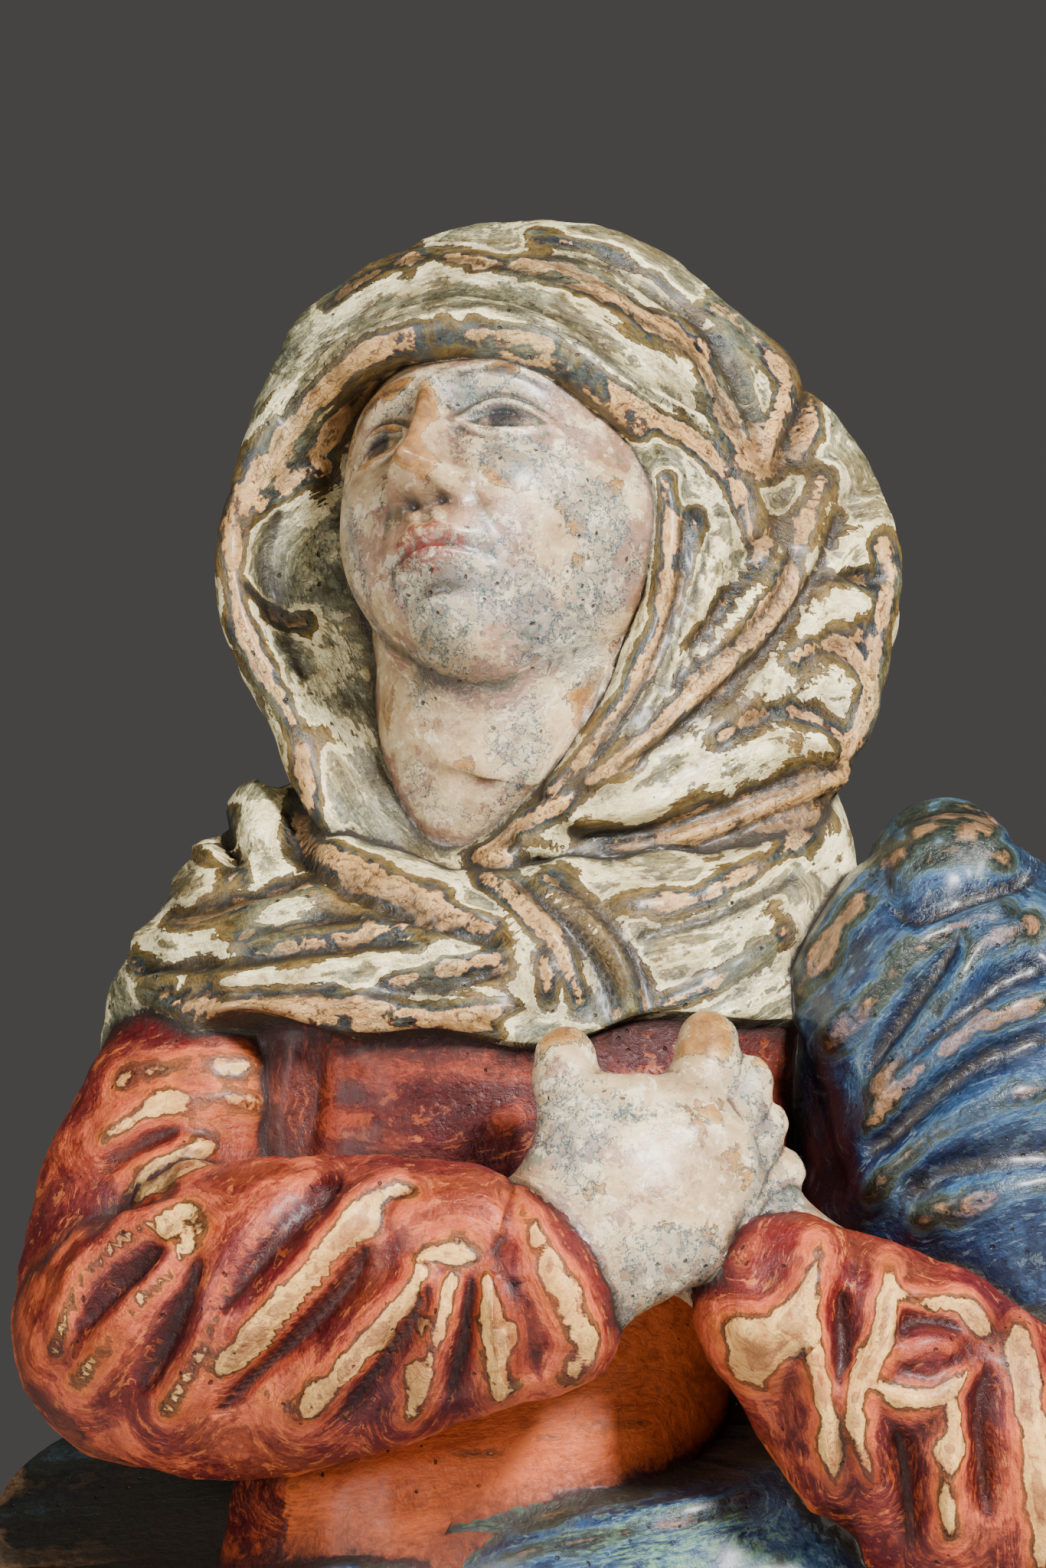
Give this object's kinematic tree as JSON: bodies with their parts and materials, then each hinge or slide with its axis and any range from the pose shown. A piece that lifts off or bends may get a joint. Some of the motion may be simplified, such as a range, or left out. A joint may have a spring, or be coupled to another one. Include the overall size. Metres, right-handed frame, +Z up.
{
  "type": "carved and painted wooden statue of a mourning woman",
  "caption": "Standing veiled woman in carved, painted wood, head thrown back, hands crossed on her breast, mantle round her hips, on a low base.",
  "frame": {"origin": "middle of the flat underside of the base", "axes": "+Z up through the figure, -Y the way she faces, +X towards her left side"},
  "size_m": [0.2273, 0.1579, 0.6314],
  "materials": {
    "painted_wood": "old worn layered paint with a satin varnish"
  },
  "bodies": {
    "root": {"figure": "painted_wood"}
  },
  "joints": []
}
